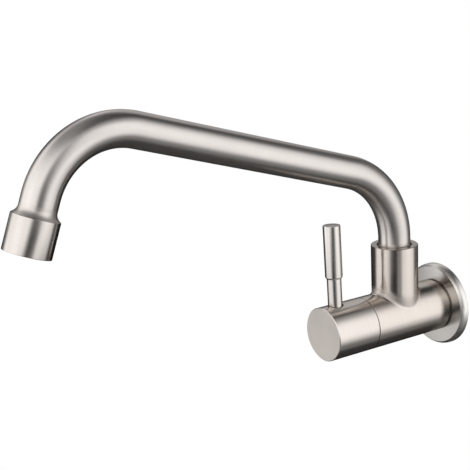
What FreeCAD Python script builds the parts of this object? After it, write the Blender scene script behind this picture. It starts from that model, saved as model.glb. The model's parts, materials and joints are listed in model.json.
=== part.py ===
"""Wall-mounted single-lever tap with a swinging tubular spout, in millimetres.

The origin is the centre of the inlet on the wall plane. +Y points into the wall, +Z points up,
and the tap stands out of the wall along -Y. A depth is a distance from the wall plane along -Y,
and a height is a distance above the body's axis.
"""
import FreeCAD, Part
import math
import os

Vector = FreeCAD.Vector
UP = Vector(0, 0, 1)
ACROSS = Vector(1, 0, 0)
INTO_WALL = Vector(0, 1, 0)

# Clearances
running_gap = 0.05
fit_gap = 0.08
push_gap = 0.1
squeeze_gap = 0.02
seam_gap = 0.3
washer_gap = 0.05

# Wall flange
flange_radius = 29.4
flange_depth = 6.0
flange_rim_depth = 2.1
flange_rim_width = 1.35
flange_bevel_radial = 0.45
flange_bevel_deep = 0.6
flange_lip = 3.2
flange_boss_radius = 14.0
flange_recess = 2.5
flange_bore_gap = 0.3

# Inlet connector: a half-inch pipe thread outside, a finer thread into the body
inlet_thread_radius = 10.478
inlet_thread_deep = 1.162
inlet_thread_pitch = 1.814
inlet_thread_length = 15.4
collar_lip = 0.622
collar_length = 8.7
collar_set_in = 0.3
inlet_bore_radius = 6.5
connector_thread_deep = 0.6
connector_thread_pitch = 1.0
connector_thread_length = 10.3
key_hex_flats = 13.0
key_hex_deep = 9.0
connector_ring_section = 0.95
thread_chamfer = 0.8

# Valve body
body_radius = 18.4
seam_depth = 71.3
body_step = 1.5
body_step_in = 1.4
body_edge = 0.25
branch_depth = 41.9
branch_radius = 16.2
branch_height = 51.5
branch_edge = 0.35
weld_fillet = 3.0
socket_mouth_chamfer = 0.45
seat_behind_branch = 3.6
chamber_radius = 12.2
socket_floor_wall = 2.0
branch_port_radius = 5.5
front_recess_radius = 15.0
front_recess_deep = 4.85
thread_tail_room = 0.6

# Ceramic cartridge
bonnet_thread_radius = 10.25
bonnet_thread_deep = 0.65
bonnet_thread_pitch = 1.814
bonnet_thread_length = 9.4
bonnet_neck_inset = 0.3
bonnet_neck_length = 1.6
bonnet_shoulder_radius = 13.4
bonnet_shoulder_thick = 1.4
bonnet_hex_flats = 22.0
bonnet_hex_height = 5.0
bonnet_nose_radius = 7.5
bonnet_nose_height = 4.0
bonnet_ring_section = 0.8
bonnet_ring_radius = 11.6
cage_inset = 0.25
cage_wall = 1.4
cage_end_gap = 0.6
window_width = 11.0
seat_seal_bore = 5.2
seat_seal_thick = 3.2
disc_thick = 3.2
disc_slack = 0.1
disc_port_inner = 1.6
disc_port_outer = 6.7
disc_port_angle = 76.0
drive_slot_width = 2.6
drive_slot_deep = 1.0
drive_slack = 0.1
foot_thick = 3.3
foot_width = 7.0
thrust_ring_thick = 0.8

# Cartridge spindle
spindle_radius = 5.0
spindle_ring_section = 0.82
spindle_ring_width = 2.2
spindle_rings_from_nose = (11.4, 16.8)
clip_thick = 1.0
clip_outer_radius = 6.8
clip_groove_radius = 4.1
clip_opening_angle = 44.0
spindle_past_clip = 1.4
spline_tip_radius = 4.0
spline_tooth_deep = 0.4
spline_teeth = 20
spline_length = 9.5
spindle_screw_hole_deep = 10.5

# Handle
hub_length = 34.3
hub_wall = 2.2
hub_end_wall = 3.0
hub_edge = 0.45
stem_hole_gap = 0.65
adapter_past_spline_start = 0.5
adapter_web = 2.0
adapter_end_gap = 0.1
screw_radius = 2.0
screw_head_radius = 3.5
screw_head_height = 2.6
screw_length = 10.0
screw_key_flats = 2.5
screw_key_deep = 1.5
screw_hole_gap = 0.2
head_pocket_gap = 0.7

# Lever
lever_setback = 11.5
lever_lean = -2.06
lever_top = 73.4
grip_bottom = 37.0
grip_radius = 5.93
grip_top_edge = 0.4
grip_chamfer_radial = 0.75
grip_chamfer_tall = 1.3
stem_radius = 4.91
stem_shoulder = 13.0
stem_thread_radius = 4.0
stem_thread_deep = 0.55
stem_thread_pitch = 1.25
stem_thread_length = 5.5
stem_tip_room = 0.5
tenon_radius = 4.0
tenon_length = 21.0
tenon_end_room = 0.5

# Spout tube
tube_radius = 11.0
tube_wall = 1.2
riser_above_branch = 4.4
first_bend_radius = 53.8
run_rise = 16.9
run_length = 161.7
second_bend_radius = 49.35
second_bend_angle = 86.25
nozzle_straight = 4.9

# Spigot at the foot of the spout
spigot_bore_radius = 7.5
spigot_neck_length = 12.0
spigot_chamfer = 0.6
spigot_ring_section = 1.0
spigot_ring_width = 2.4
spigot_ring_groove = 2.05
spigot_rings_above_foot = (3.8, 9.2)
catch_groove_below_tube = 2.85
catch_groove_width = 4.4
catch_groove_deep = 1.8
bush_height = 8.5
bush_wall = 0.67
bush_mouth_depth = 5.0
thrust_washer_thick = 0.9
thrust_washer_width = 2.6

# Grub screw that keeps the spout in its socket
grub_radius = 2.5
grub_tip_radius = 1.6
grub_tip_length = 1.5
grub_set_in = 0.9
grub_key_flats = 2.5
grub_key_deep = 2.2
grub_floor_gap = 0.5

# Nozzle and aerator
nozzle_step = 3.24
nozzle_length = 21.0
nozzle_neck = 6.5
nozzle_neck_slope = 50.0
nozzle_neck_fillet = 5.0
nozzle_lip_radial = 0.3
nozzle_lip_tall = 0.35
nozzle_spigot_length = 4.4
nozzle_spigot_bore = 8.4
nozzle_chamber_radius = 10.4
nozzle_mouth_edge = 0.35
aerator_thread_radius = 12.0
aerator_thread_deep = 0.5
aerator_thread_pitch = 1.0
aerator_pocket_deep = 11.0
aerator_set_in = 0.8
aerator_washer_thick = 1.6
aerator_washer_bore = 9.0
aerator_shell_wall = 1.2
aerator_lip_width = 0.7
aerator_lip_height = 1.3
aerator_key_width = 3.0
aerator_key_deep = 0.9
jet_plate_room = 0.7
jet_radius = 0.7
jet_ring_radii = (3.4, 6.2, 8.6)
jet_ring_counts = (8, 14, 20)
screen_thick = 0.4
screen_pitch = 1.5
screen_bar = 0.5
grid_thick = 2.2
grid_pitch = 2.4
grid_bar = 0.5

# Radii that follow from the sizes above
inlet_thread_root = inlet_thread_radius - inlet_thread_deep
collar_radius = inlet_thread_radius + collar_lip
connector_thread_radius = collar_radius - 2 * (connector_ring_section + push_gap)
connector_thread_root = connector_thread_radius - connector_thread_deep
body_step_radius = body_radius - body_step_in
socket_radius = tube_radius + bush_wall + 2 * running_gap
bonnet_thread_root = bonnet_thread_radius - bonnet_thread_deep
bonnet_neck_radius = bonnet_thread_root - bonnet_neck_inset
cage_radius = bonnet_thread_radius - cage_inset
cage_bore_radius = cage_radius - cage_wall
hub_bore_radius = body_radius - hub_wall
spline_root_radius = spline_tip_radius - spline_tooth_deep
stem_thread_root = stem_thread_radius - stem_thread_deep
spigot_radius = tube_radius
socket_bore_radius = tube_radius + running_gap
tube_bore_radius = tube_radius - tube_wall
catch_groove_radius = spigot_radius - catch_groove_deep
nozzle_radius = tube_radius + nozzle_step
aerator_thread_root = aerator_thread_radius - aerator_thread_deep
aerator_bore_radius = aerator_thread_root - aerator_shell_wall
aerator_lip_radius = aerator_bore_radius - aerator_lip_width
insert_radius = aerator_bore_radius - push_gap

# Depths that follow from the sizes above
body_rear_depth = flange_depth
body_front_depth = seam_depth - seam_gap / 2
hub_rear_depth = seam_depth + seam_gap / 2
hub_front_depth = seam_depth + hub_length
lever_depth = hub_front_depth - lever_setback
collar_end_depth = collar_set_in + collar_length
ring_floor_depth = collar_end_depth + 2 * connector_ring_section
connector_end_depth = collar_end_depth + connector_thread_length
seat_depth = branch_depth - seat_behind_branch
ledge_depth = body_front_depth - front_recess_deep
chamber_front_depth = ledge_depth - bonnet_thread_length - thread_tail_room
shoulder_depth = ledge_depth + 2 * bonnet_ring_section
hex_depth = shoulder_depth + bonnet_shoulder_thick
nose_depth = hex_depth + bonnet_hex_height
nose_end_depth = nose_depth + bonnet_nose_height
fixed_disc_depth = seat_depth + seat_seal_thick
moving_disc_depth = fixed_disc_depth + disc_thick + washer_gap
foot_depth = moving_disc_depth + disc_thick + washer_gap
stem_depth = foot_depth + foot_thick
thrust_ring_depth = stem_depth + washer_gap
bonnet_ledge_depth = thrust_ring_depth + thrust_ring_thick + washer_gap
clip_depth = nose_end_depth + washer_gap
spline_depth = clip_depth + clip_thick + spindle_past_clip
spline_end_depth = spline_depth + spline_length
adapter_depth = spline_depth + adapter_past_spline_start
adapter_end_depth = hub_front_depth - hub_end_wall - adapter_end_gap
screw_seat_depth = spline_end_depth + push_gap + adapter_web

# Heights that follow from the sizes above
socket_floor = chamber_radius + socket_floor_wall
spigot_foot = socket_floor + thrust_washer_thick + washer_gap
bush_ledge = branch_height - bush_mouth_depth - bush_height
tube_foot = bush_ledge
riser_height = branch_height + riser_above_branch
catch_groove_height = tube_foot - catch_groove_below_tube - catch_groove_width
grub_height = catch_groove_height + catch_groove_width / 2
stem_tip_height = stem_shoulder - stem_thread_length

# Heights down the nozzle, from where its plain cylinder starts
washer_top = nozzle_length - aerator_pocket_deep
shell_top = washer_top + aerator_washer_thick
shell_end = nozzle_length - aerator_set_in
shell_ledge = shell_end - aerator_lip_height
grid_top = shell_ledge - grid_thick
screen_top = grid_top - screen_thick
jet_plate_top = shell_top + jet_plate_room


def solid_of(shape):
    """The shape as one solid with its faces outwards."""
    solid = shape.Solids[0]
    if solid.Volume < 0:
        solid.reverse()
    return solid


def turned(points, bends=None):
    """A solid turned about Z from a closed outline of (radius, height) points.

    bends gives, by a point's place in the list, the middle of the arc from it to the next one.
    """
    bends = bends or {}
    corners = [Vector(radius, 0, height) for radius, height in points]
    edges = []
    for place, start in enumerate(corners):
        end = corners[(place + 1) % len(corners)]
        if place in bends:
            middle = Vector(bends[place][0], 0, bends[place][1])
            edges.append(Part.Arc(start, middle, end).toShape())
        else:
            edges.append(Part.LineSegment(start, end).toShape())
    return solid_of(Part.Face(Part.Wire(edges)).revolve(Vector(), UP, 360))


def rod(radius, low, high):
    """A plain cylinder about Z."""
    return Part.makeCylinder(radius, high - low, Vector(0, 0, low))


def ring(inner, outer, low, high):
    """A flat-ended ring about Z."""
    return turned([(inner, low), (outer, low), (outer, high), (inner, high)])


def seal_ring(centre_radius, section_radius, height):
    """A round-section seal about Z."""
    return Part.makeTorus(centre_radius, section_radius, Vector(0, 0, height))


def prism(points, low, high):
    """An upright solid over a closed polygon of (x, y) points."""
    corners = [Vector(x, y, low) for x, y in points]
    face = Part.Face(Part.makePolygon(corners + corners[:1]))
    return solid_of(face.extrude(Vector(0, 0, high - low)))


def hexagon(across_flats, low, high):
    """A six-sided prism about Z."""
    corner = across_flats / 2 / math.cos(math.radians(30))
    angles = [math.radians(60 * side) for side in range(6)]
    return prism([(corner * math.cos(a), corner * math.sin(a)) for a in angles], low, high)


def box_about(width, length, low, high):
    """A box centred on Z."""
    return Part.makeBox(width, length, high - low, Vector(-width / 2, -length / 2, low))


def ridges(crest, root, pitch, low, high):
    """Outline points, going up, of a thread drawn as a row of sharp-rooted ridges."""
    count = int((high - low) / pitch)
    flat = 0.22 * pitch
    margin = (high - low - count * pitch) / 2
    points = [(crest, low)]
    for turn in range(count):
        start = low + margin + turn * pitch
        points.append((crest, start + flat / 2))
        points.append((root, start + pitch / 2))
        points.append((crest, start + pitch - flat / 2))
    points.append((crest, high))
    return points


def aimed(shape, heading, origin=Vector()):
    """Turn a shape made about Z to a heading above the horizontal, pointing out of the wall."""
    return shape.rotated(Vector(), ACROSS, 90 - heading).translated(origin)


def out_of_wall(shape):
    """Lay a shape made about Z along the body's axis, so that its heights become depths."""
    return aimed(shape, 0)


def on_branch(shape):
    """Stand a shape made about Z on the branch's axis."""
    return shape.translated(Vector(0, -branch_depth, 0))


def on_lever(shape):
    """Stand a shape made about Z on the lever's axis."""
    return leaned(shape.translated(Vector(0, -lever_depth, 0)))


def leaned(shape):
    """Give a piece of the handle the small lean at which it stands closed."""
    return shape.rotated(Vector(), INTO_WALL, lever_lean)


def wall_flange():
    """Turned cover plate with a flat face, a bevelled edge and a rounded rim."""
    bore = collar_radius + flange_bore_gap
    bevel_foot_radius = flange_radius - flange_rim_width
    face_radius = bevel_foot_radius - flange_bevel_radial
    bevel_foot_depth = flange_depth - flange_bevel_deep
    rise = bevel_foot_depth - flange_rim_depth
    round_radius = (flange_rim_width ** 2 + rise ** 2) / (2 * flange_rim_width)
    half = math.asin(rise / round_radius) / 2
    middle = (flange_radius - round_radius * (1 - math.cos(half)),
              flange_rim_depth + round_radius * math.sin(half))
    recess_radius = flange_radius - flange_lip
    points = [
        (bore, 0), (flange_boss_radius, 0), (flange_boss_radius, flange_recess),
        (recess_radius, flange_recess), (recess_radius, 0), (flange_radius, 0),
        (flange_radius, flange_rim_depth), (bevel_foot_radius, bevel_foot_depth),
        (face_radius, flange_depth), (bore, flange_depth),
    ]
    return out_of_wall(turned(points, {6: middle}))


def flange_seal():
    """Flat ring in the back of the flange that keeps water off the wall opening."""
    inner = flange_boss_radius + push_gap
    outer = flange_radius - flange_lip - push_gap
    return out_of_wall(ring(inner, outer, 0, flange_recess))


def inlet_connector():
    """Threaded inlet with a collar, a hexagon key socket and a through bore."""
    tip = -collar_set_in - inlet_thread_length
    top = connector_end_depth
    points = [(inlet_bore_radius, tip), (inlet_thread_root, tip)]
    points += ridges(inlet_thread_radius, inlet_thread_root, inlet_thread_pitch,
                     tip + thread_chamfer, -collar_set_in)
    points += [(inlet_thread_root, -collar_set_in), (inlet_thread_root, collar_set_in),
               (collar_radius, collar_set_in), (collar_radius, collar_end_depth)]
    points += ridges(connector_thread_radius, connector_thread_root, connector_thread_pitch,
                     collar_end_depth, top - thread_chamfer)
    points += [(connector_thread_root, top), (inlet_bore_radius, top)]
    solid = turned(points).cut(hexagon(key_hex_flats, tip - 1, tip + key_hex_deep))
    return out_of_wall(solid_of(solid))


def connector_ring():
    """Round seal between the connector's collar and the body."""
    centre = connector_thread_radius + fit_gap + connector_ring_section
    return out_of_wall(seal_ring(centre, connector_ring_section - squeeze_gap,
                                 collar_end_depth + connector_ring_section))


def valve_body():
    """Body tube with its upright branch, the seat, the chamber and the threaded front."""
    outline = [
        (0, body_rear_depth), (body_step_radius, body_rear_depth),
        (body_step_radius, body_rear_depth + body_step),
        (body_radius - body_edge, body_rear_depth + body_step),
        (body_radius, body_rear_depth + body_step + body_edge),
        (body_radius, body_front_depth - body_edge),
        (body_radius - body_edge, body_front_depth), (0, body_front_depth),
    ]
    upright = [
        (0, 0), (branch_radius, 0), (branch_radius, branch_height - branch_edge),
        (branch_radius - branch_edge, branch_height), (0, branch_height),
    ]
    shell = out_of_wall(turned(outline)).fuse(on_branch(turned(upright)))
    saddle = [e for e in shell.Edges if "Line" not in e.Curve.TypeId and "Circle" not in e.Curve.TypeId]
    shell = shell.makeFillet(weld_fillet, saddle)

    past = 1.0
    connector_hole = connector_thread_radius + fit_gap
    bonnet_hole = bonnet_thread_radius + fit_gap
    bores = [
        (collar_radius + 2 * push_gap, body_rear_depth - past, ring_floor_depth),
        (connector_hole, ring_floor_depth - past, connector_end_depth + push_gap),
        (inlet_bore_radius, connector_end_depth - past, seat_depth + past),
        (chamber_radius, seat_depth, chamber_front_depth),
        (bonnet_hole, chamber_front_depth - past, ledge_depth + past),
        (front_recess_radius, ledge_depth, body_front_depth + past),
    ]
    for radius, low, high in bores:
        shell = shell.cut(out_of_wall(rod(radius, low, high)))
    mouth = socket_radius + socket_mouth_chamfer
    socket = turned([
        (0, socket_floor), (socket_bore_radius, socket_floor), (socket_bore_radius, bush_ledge),
        (socket_radius, bush_ledge), (socket_radius, branch_height - socket_mouth_chamfer),
        (mouth, branch_height), (mouth, branch_height + past), (0, branch_height + past),
    ])
    port = rod(branch_port_radius, chamber_radius - socket_floor_wall, socket_floor + past)
    grub_hole = aimed(rod(grub_radius + fit_gap, -branch_radius - past, -spigot_radius + past),
                      0, Vector(0, 0, grub_height))
    for cutter in (socket, port, grub_hole):
        shell = shell.cut(on_branch(cutter))
    return solid_of(shell)


def cartridge_bonnet():
    """Cartridge housing: windowed cage, thread, shoulder, hexagon and nose."""
    bore = spindle_radius + running_gap
    thread_foot = ledge_depth - bonnet_thread_length
    outline = [
        (bore, bonnet_ledge_depth), (cage_bore_radius, bonnet_ledge_depth),
        (cage_bore_radius, seat_depth + cage_end_gap), (cage_radius, seat_depth + cage_end_gap),
        (cage_radius, chamber_front_depth), (bonnet_thread_root, chamber_front_depth),
    ]
    outline += ridges(bonnet_thread_radius, bonnet_thread_root, bonnet_thread_pitch,
                      thread_foot, ledge_depth - bonnet_neck_length)
    outline += [
        (bonnet_neck_radius, ledge_depth - bonnet_neck_length), (bonnet_neck_radius, shoulder_depth),
        (bonnet_shoulder_radius, shoulder_depth), (bonnet_shoulder_radius, hex_depth),
        (bonnet_nose_radius, hex_depth), (bonnet_nose_radius, nose_end_depth),
        (bore, nose_end_depth),
    ]
    hexagon_ring = hexagon(bonnet_hex_flats, hex_depth, nose_depth)
    hexagon_ring = hexagon_ring.cut(rod(bore, hex_depth - 1, nose_depth + 1))
    window = box_about(3 * cage_radius, window_width, foot_depth - drive_slot_deep, stem_depth)
    return out_of_wall(solid_of(turned(outline).fuse(hexagon_ring).cut(window)))


def bonnet_ring():
    """Round seal between the cartridge's shoulder and the body."""
    return out_of_wall(seal_ring(bonnet_ring_radius, bonnet_ring_section - squeeze_gap,
                                 ledge_depth + bonnet_ring_section))


def seat_seal():
    """Rubber ring pressed between the seat and the fixed disc, with a lip on the seat."""
    outer = cage_bore_radius - push_gap
    lip = outer - cage_end_gap
    points = [
        (seat_seal_bore, seat_depth), (lip, seat_depth), (outer, seat_depth + cage_end_gap),
        (outer, fixed_disc_depth), (seat_seal_bore, fixed_disc_depth),
    ]
    return out_of_wall(turned(points))


def disc_port(middle_angle, low, high):
    """One sector-shaped opening of a ceramic disc."""
    half = disc_port_angle / 2
    angles = [math.radians(middle_angle + part * half) for part in (-1, 0, 1)]
    inner = [Vector(disc_port_inner * math.cos(a), disc_port_inner * math.sin(a), low) for a in angles]
    outer = [Vector(disc_port_outer * math.cos(a), disc_port_outer * math.sin(a), low) for a in angles]
    edges = [
        Part.Arc(inner[0], inner[1], inner[2]).toShape(), Part.LineSegment(inner[2], outer[2]).toShape(),
        Part.Arc(outer[2], outer[1], outer[0]).toShape(), Part.LineSegment(outer[0], inner[0]).toShape(),
    ]
    return solid_of(Part.Face(Part.Wire(edges)).extrude(Vector(0, 0, high - low)))


def ceramic_disc(depth, first_angle):
    """Polished disc with two opposite openings."""
    disc = rod(cage_bore_radius - disc_slack, depth, depth + disc_thick)
    for angle in (first_angle, first_angle + 180):
        disc = disc.cut(disc_port(angle, depth - 1, depth + disc_thick + 1))
    return disc


def fixed_disc():
    """Disc that stays still in the cage."""
    return out_of_wall(solid_of(ceramic_disc(fixed_disc_depth, 0)))


def moving_disc():
    """Disc that the spindle turns, closed at rest, with a slot for the spindle's foot."""
    disc = ceramic_disc(moving_disc_depth, 90)
    top = moving_disc_depth + disc_thick
    slot = box_about(3 * cage_radius, drive_slot_width, top - drive_slot_deep, top + 1)
    return leaned(out_of_wall(solid_of(disc.cut(slot))))


def thrust_ring():
    """Slippery ring between the spindle's foot and the bonnet."""
    inner = spindle_radius + push_gap
    outer = cage_bore_radius - push_gap
    low = thrust_ring_depth
    return leaned(out_of_wall(ring(inner, outer, low, low + thrust_ring_thick)))


def splined_rod(tip, root, low, high):
    """A rod with straight teeth."""
    count = 2 * spline_teeth
    points = []
    for place in range(count):
        radius = tip if place % 2 == 0 else root
        angle = 2 * math.pi * place / count
        points.append((radius * math.cos(angle), radius * math.sin(angle)))
    return prism(points, low, high)


def cartridge_spindle():
    """Spindle with a driving foot, two seal grooves, a clip groove and a splined end."""
    ring_floor = spindle_radius + running_gap - squeeze_gap - 2 * spindle_ring_section - squeeze_gap
    outline = [(0, stem_depth), (spindle_radius, stem_depth)]
    for back in sorted(spindle_rings_from_nose, reverse=True):
        middle = nose_end_depth - back
        low, high = middle - spindle_ring_width / 2, middle + spindle_ring_width / 2
        outline += [(spindle_radius, low), (ring_floor, low), (ring_floor, high), (spindle_radius, high)]
    groove_end = clip_depth + clip_thick + washer_gap
    outline += [
        (spindle_radius, clip_depth - washer_gap), (clip_groove_radius, clip_depth - washer_gap),
        (clip_groove_radius, groove_end), (spindle_radius, groove_end),
        (spindle_radius, spline_depth), (0, spline_depth),
    ]
    foot = rod(cage_bore_radius - 3 * disc_slack, foot_depth, stem_depth)
    foot = foot.common(box_about(3 * cage_radius, foot_width, foot_depth, stem_depth))
    drive_width = drive_slot_width - 2 * drive_slack
    drive = rod(cage_bore_radius - 3 * disc_slack, foot_depth + washer_gap - drive_slot_deep, foot_depth)
    drive = drive.common(box_about(3 * cage_radius, drive_width, foot_depth - drive_slot_deep, foot_depth))
    teeth = splined_rod(spline_tip_radius, spline_root_radius, spline_depth, spline_end_depth)
    solid = turned(outline).fuse([foot, drive, teeth])
    hole_end = spline_end_depth - spindle_screw_hole_deep
    solid = solid.cut(rod(screw_radius + fit_gap, hole_end, spline_end_depth + 1))
    return leaned(out_of_wall(solid_of(solid.removeSplitter())))


def spindle_rings():
    """Two round seals on the spindle."""
    centre = spindle_radius + running_gap - squeeze_gap - spindle_ring_section
    rings = [seal_ring(centre, spindle_ring_section, nose_end_depth - back)
             for back in spindle_rings_from_nose]
    return Part.makeCompound([leaned(out_of_wall(each)) for each in rings])


def spindle_clip():
    """Spring clip that holds the spindle in the bonnet."""
    low, high = clip_depth, clip_depth + clip_thick
    clip = ring(clip_groove_radius + washer_gap, clip_outer_radius, low, high)
    reach = 2 * clip_outer_radius
    half = math.radians(clip_opening_angle / 2)
    wedge = prism([(0, 0), (reach * math.cos(half), -reach * math.sin(half)),
                   (reach * math.cos(half), reach * math.sin(half))], low - 1, high + 1)
    return leaned(out_of_wall(solid_of(clip.cut(wedge))))


def handle_hub():
    """Round hub, closed at the front, with a hole for the lever."""
    outline = [
        (hub_bore_radius, hub_rear_depth), (body_radius - body_edge, hub_rear_depth),
        (body_radius, hub_rear_depth + body_edge), (body_radius, hub_front_depth - hub_edge),
        (body_radius - hub_edge, hub_front_depth), (0, hub_front_depth),
        (0, hub_front_depth - hub_end_wall), (hub_bore_radius, hub_front_depth - hub_end_wall),
    ]
    hole = rod(stem_radius + stem_hole_gap, 0, 2 * body_radius).translated(Vector(0, -lever_depth, 0))
    return leaned(solid_of(out_of_wall(turned(outline)).cut(hole)))


def spindle_adapter():
    """Core that joins the spindle's teeth to the hub and takes the lever's thread."""
    outer = hub_bore_radius - push_gap
    core = rod(outer, adapter_depth, adapter_end_depth)
    core = core.cut(splined_rod(spline_tip_radius + push_gap, spline_root_radius + push_gap,
                                adapter_depth - 1, spline_end_depth + push_gap))
    core = core.cut(rod(screw_radius + screw_hole_gap, adapter_depth, adapter_end_depth))
    core = core.cut(rod(screw_head_radius + head_pocket_gap, screw_seat_depth, adapter_end_depth + 1))
    core = out_of_wall(core)
    shoulder_hole = rod(stem_radius + fit_gap, stem_shoulder, 2 * body_radius)
    thread_hole = rod(stem_thread_radius + fit_gap, stem_tip_height - stem_tip_room, 2 * body_radius)
    for hole in (shoulder_hole, thread_hole):
        core = core.cut(hole.translated(Vector(0, -lever_depth, 0)))
    return leaned(solid_of(core))


def adapter_screw():
    """Cap screw that pulls the adapter onto the spindle."""
    head_end = screw_seat_depth + screw_head_height
    shank = rod(screw_radius, screw_seat_depth - screw_length, screw_seat_depth + screw_head_height / 2)
    head = rod(screw_head_radius, screw_seat_depth, head_end)
    key = hexagon(screw_key_flats, head_end - screw_key_deep, head_end + 1)
    return leaned(out_of_wall(solid_of(shank.fuse(head).cut(key).removeSplitter())))


def lever_stem():
    """Stepped rod, threaded into the adapter at its foot and into the grip at its top."""
    tenon_end = grip_bottom + tenon_length
    outline = [(0, stem_tip_height), (stem_thread_root, stem_tip_height)]
    outline += ridges(stem_thread_radius, stem_thread_root, stem_thread_pitch,
                      stem_tip_height + stem_thread_radius - stem_thread_root, stem_shoulder)
    outline += [
        (stem_radius, stem_shoulder), (stem_radius, grip_bottom), (tenon_radius, grip_bottom),
        (tenon_radius, tenon_end), (0, tenon_end),
    ]
    return on_lever(turned(outline))


def lever_grip():
    """Thicker sleeve on the upper half of the lever."""
    bore = tenon_radius + fit_gap
    bore_end = grip_bottom + tenon_length + tenon_end_room
    outline = [
        (bore, grip_bottom), (grip_radius - grip_chamfer_radial, grip_bottom),
        (grip_radius, grip_bottom + grip_chamfer_tall), (grip_radius, lever_top - grip_top_edge),
        (grip_radius - grip_top_edge, lever_top), (0, lever_top), (0, bore_end), (bore, bore_end),
    ]
    return on_lever(turned(outline))


def heading_vector(heading):
    """Unit vector at a heading above the horizontal, out of the wall."""
    angle = math.radians(heading)
    return Vector(0, -math.cos(angle), math.sin(angle))


def bend_centre_vector(heading):
    """Unit vector from the centre line to the centre of a downward bend."""
    angle = math.radians(heading)
    return Vector(0, -math.sin(angle), -math.cos(angle))


def spout_route():
    """The tube's centre line as edges, with its far end and its heading there."""
    here, heading, edges = Vector(0, -branch_depth, tube_foot), 90.0, []
    steps = [
        (riser_height - tube_foot, first_bend_radius, 90.0 - run_rise),
        (run_length, second_bend_radius, second_bend_angle),
        (nozzle_straight, None, 0.0),
    ]
    for straight, radius, turn in steps:
        there = here + heading_vector(heading) * straight
        edges.append(Part.LineSegment(here, there).toShape())
        here = there
        if radius:
            centre = here + bend_centre_vector(heading) * radius
            middle = centre - bend_centre_vector(heading - turn / 2) * radius
            there = centre - bend_centre_vector(heading - turn) * radius
            edges.append(Part.Arc(here, middle, there).toShape())
            here, heading = there, heading - turn
    return edges, here, heading


def spout_tube():
    """Bent tube of one bore from the socket to the nozzle."""
    edges = spout_route()[0]
    start = edges[0].Vertexes[0].Point
    pipes = []
    for radius in (tube_radius, tube_bore_radius):
        circle = Part.Wire(Part.makeCircle(radius, start, UP))
        pipes.append(solid_of(Part.Wire(edges).makePipe(Part.Face(circle))))
    return solid_of(pipes[0].cut(pipes[1]))


def spout_spigot():
    """Turned end of the spout with two seal grooves and the groove that the grub screw enters."""
    ring_floor = spigot_radius - spigot_ring_groove
    outline = [
        (spigot_bore_radius, spigot_foot), (spigot_radius - spigot_chamfer, spigot_foot),
        (spigot_radius, spigot_foot + spigot_chamfer),
    ]
    for above in spigot_rings_above_foot:
        low = spigot_foot + above
        high = low + spigot_ring_width
        outline += [(spigot_radius, low), (ring_floor, low), (ring_floor, high), (spigot_radius, high)]
    low, high = catch_groove_height, catch_groove_height + catch_groove_width
    neck = tube_bore_radius - running_gap
    top = tube_foot + spigot_neck_length
    outline += [
        (spigot_radius, low), (catch_groove_radius, low), (catch_groove_radius, high),
        (spigot_radius, high), (spigot_radius, tube_foot), (neck, tube_foot), (neck, top),
        (spigot_bore_radius + spigot_chamfer, top), (spigot_bore_radius, top - spigot_chamfer),
    ]
    return on_branch(turned(outline))


def spigot_rings():
    """Two round seals on the spigot."""
    centre = socket_bore_radius - squeeze_gap - spigot_ring_section
    rings = [seal_ring(centre, spigot_ring_section, spigot_foot + above + spigot_ring_width / 2)
             for above in spigot_rings_above_foot]
    return Part.makeCompound([on_branch(each) for each in rings])


def glide_bush():
    """Thin plastic sleeve that steadies the tube in the socket's mouth."""
    return on_branch(ring(tube_radius + running_gap, socket_radius - running_gap,
                          bush_ledge, bush_ledge + bush_height))


def thrust_washer():
    """Plastic washer that the spigot turns on."""
    outer = socket_bore_radius - push_gap
    return on_branch(ring(outer - thrust_washer_width, outer,
                          socket_floor, socket_floor + thrust_washer_thick))


def spout_grub_screw():
    """Socket screw in the back of the branch, with a plain tip in the spigot's groove."""
    outer = branch_radius - grub_set_in
    tip = catch_groove_radius + grub_floor_gap
    shoulder = tip + grub_tip_length
    outline = [
        (0, -tip), (grub_tip_radius, -tip), (grub_tip_radius, -shoulder),
        (grub_radius, -shoulder), (grub_radius, -outer), (0, -outer),
    ]
    key = hexagon(grub_key_flats, -outer - 1, -outer + grub_key_deep)
    screw = solid_of(turned(outline).cut(key))
    return on_branch(aimed(screw, 0, Vector(0, 0, grub_height)))


def at_nozzle(shape):
    """Carry a shape made about Z to the nozzle, with height 0 where its plain cylinder starts."""
    edges, end, heading = spout_route()
    return aimed(shape, heading, end + heading_vector(heading) * nozzle_neck)


def nozzle_collar():
    """Nozzle: a neck flush with the tube that flares out to a plain cylinder, threaded inside."""
    slope = math.radians(nozzle_neck_slope)
    fillet_radial = nozzle_neck_fillet * (1 - math.cos(slope))
    fillet_tall = nozzle_neck_fillet * math.sin(slope)
    lip_radius = nozzle_radius - nozzle_lip_radial
    cone_tall = (lip_radius - tube_radius - fillet_radial) / math.tan(slope)
    cone_foot = -nozzle_lip_tall - cone_tall
    neck_start = cone_foot - fillet_tall
    half = slope / 2
    middle = (tube_radius + nozzle_neck_fillet * (1 - math.cos(half)),
              neck_start + nozzle_neck_fillet * math.sin(half))
    spigot = tube_bore_radius - running_gap
    pocket = nozzle_length - aerator_pocket_deep
    thread = aerator_thread_radius + fit_gap
    mouth = thread + nozzle_mouth_edge
    points = [
        (nozzle_spigot_bore, -nozzle_neck - nozzle_spigot_length),
        (spigot, -nozzle_neck - nozzle_spigot_length), (spigot, -nozzle_neck),
        (tube_radius, -nozzle_neck), (tube_radius, neck_start),
        (tube_radius + fillet_radial, cone_foot), (lip_radius, -nozzle_lip_tall),
        (nozzle_radius, 0), (nozzle_radius, nozzle_length - nozzle_mouth_edge),
        (nozzle_radius - nozzle_mouth_edge, nozzle_length), (mouth, nozzle_length),
        (thread, nozzle_length - nozzle_mouth_edge), (thread, pocket),
        (nozzle_chamber_radius, pocket), (nozzle_chamber_radius, 0),
        (nozzle_spigot_bore, nozzle_spigot_bore - nozzle_chamber_radius),
    ]
    return at_nozzle(turned(points, {4: middle}))


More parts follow.
